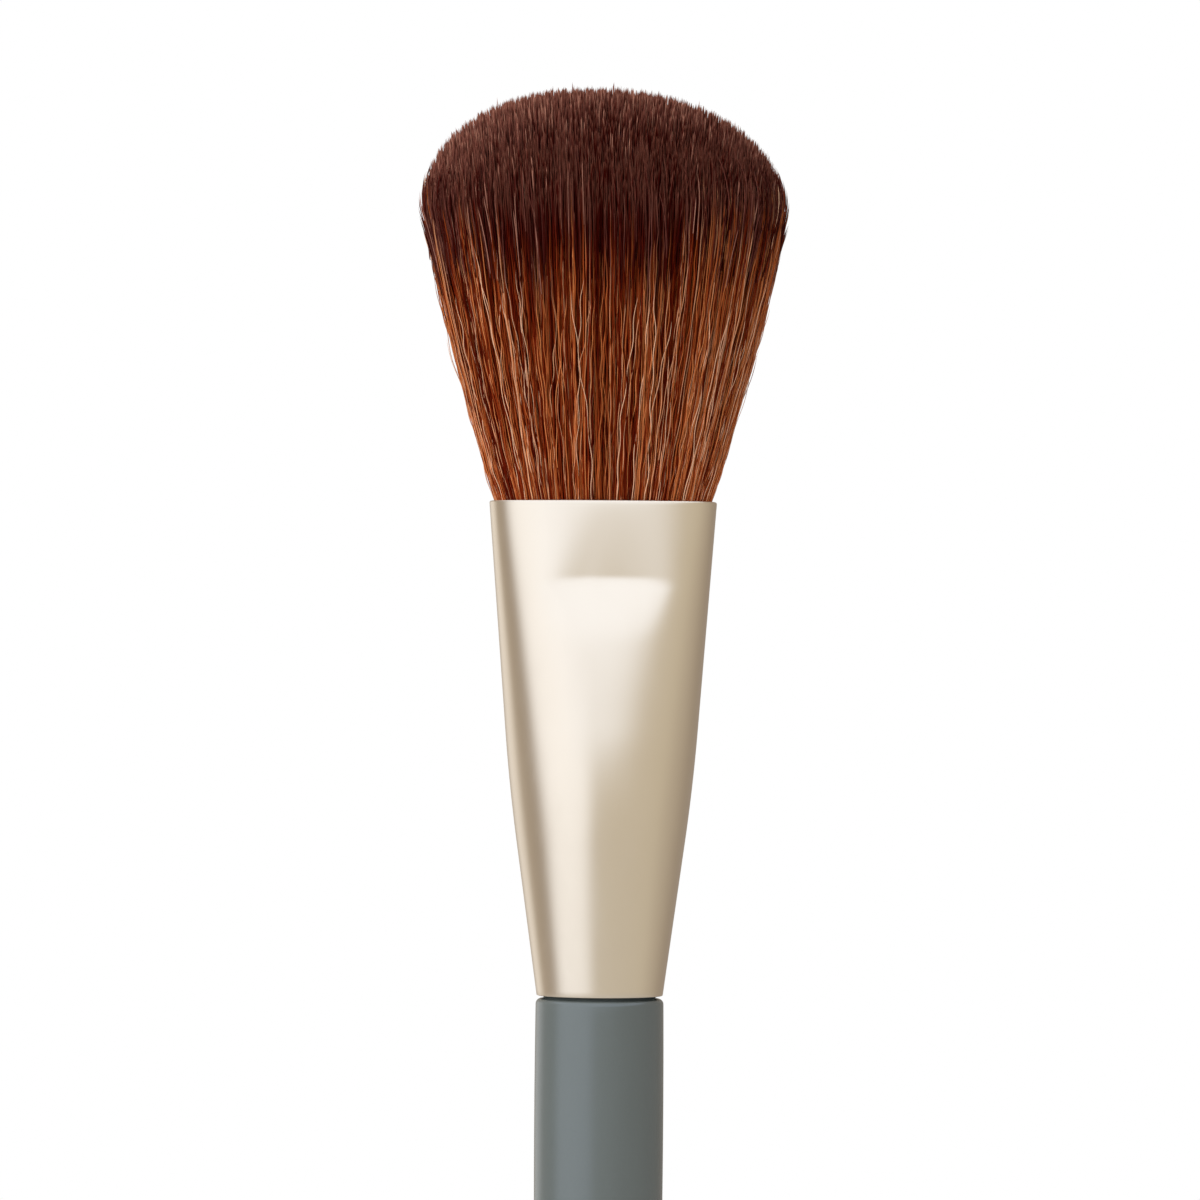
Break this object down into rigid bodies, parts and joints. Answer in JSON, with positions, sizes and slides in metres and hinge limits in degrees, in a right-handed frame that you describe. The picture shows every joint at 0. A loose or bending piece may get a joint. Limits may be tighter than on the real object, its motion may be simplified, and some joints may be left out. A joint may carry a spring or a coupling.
{
  "type": "powder brush",
  "caption": "Powder brush: a domed oval tuft of soft bristles in a pressed, flared metal ferrule on a round tapered handle.",
  "frame": {"origin": "centre of the small flat at the handle's end", "axes": "+Z along the brush from the handle's end to the bristle tips, -Y towards the front pressed face of the ferrule, +X to the right seen from the front"},
  "size_m": [0.0397, 0.0258, 0.1953],
  "materials": {
    "handle_lacquer": "turned wood under satin grey-green lacquer",
    "champagne_metal": "satin anodised champagne gold",
    "bristle_fibre": "fine dyed fibre, plum brown at the tips, reddish brown below, with pale wavy strands",
    "amber_glue": "cured clear glue",
    "waxed_thread": "waxed off-white thread"
  },
  "bodies": {
    "root": {"handle": "handle_lacquer", "tenon_glue": "amber_glue", "ferrule": "champagne_metal", "root_glue": "amber_glue", "binding_thread": "waxed_thread", "bristle_tuft": "bristle_fibre"}
  },
  "joints": []
}
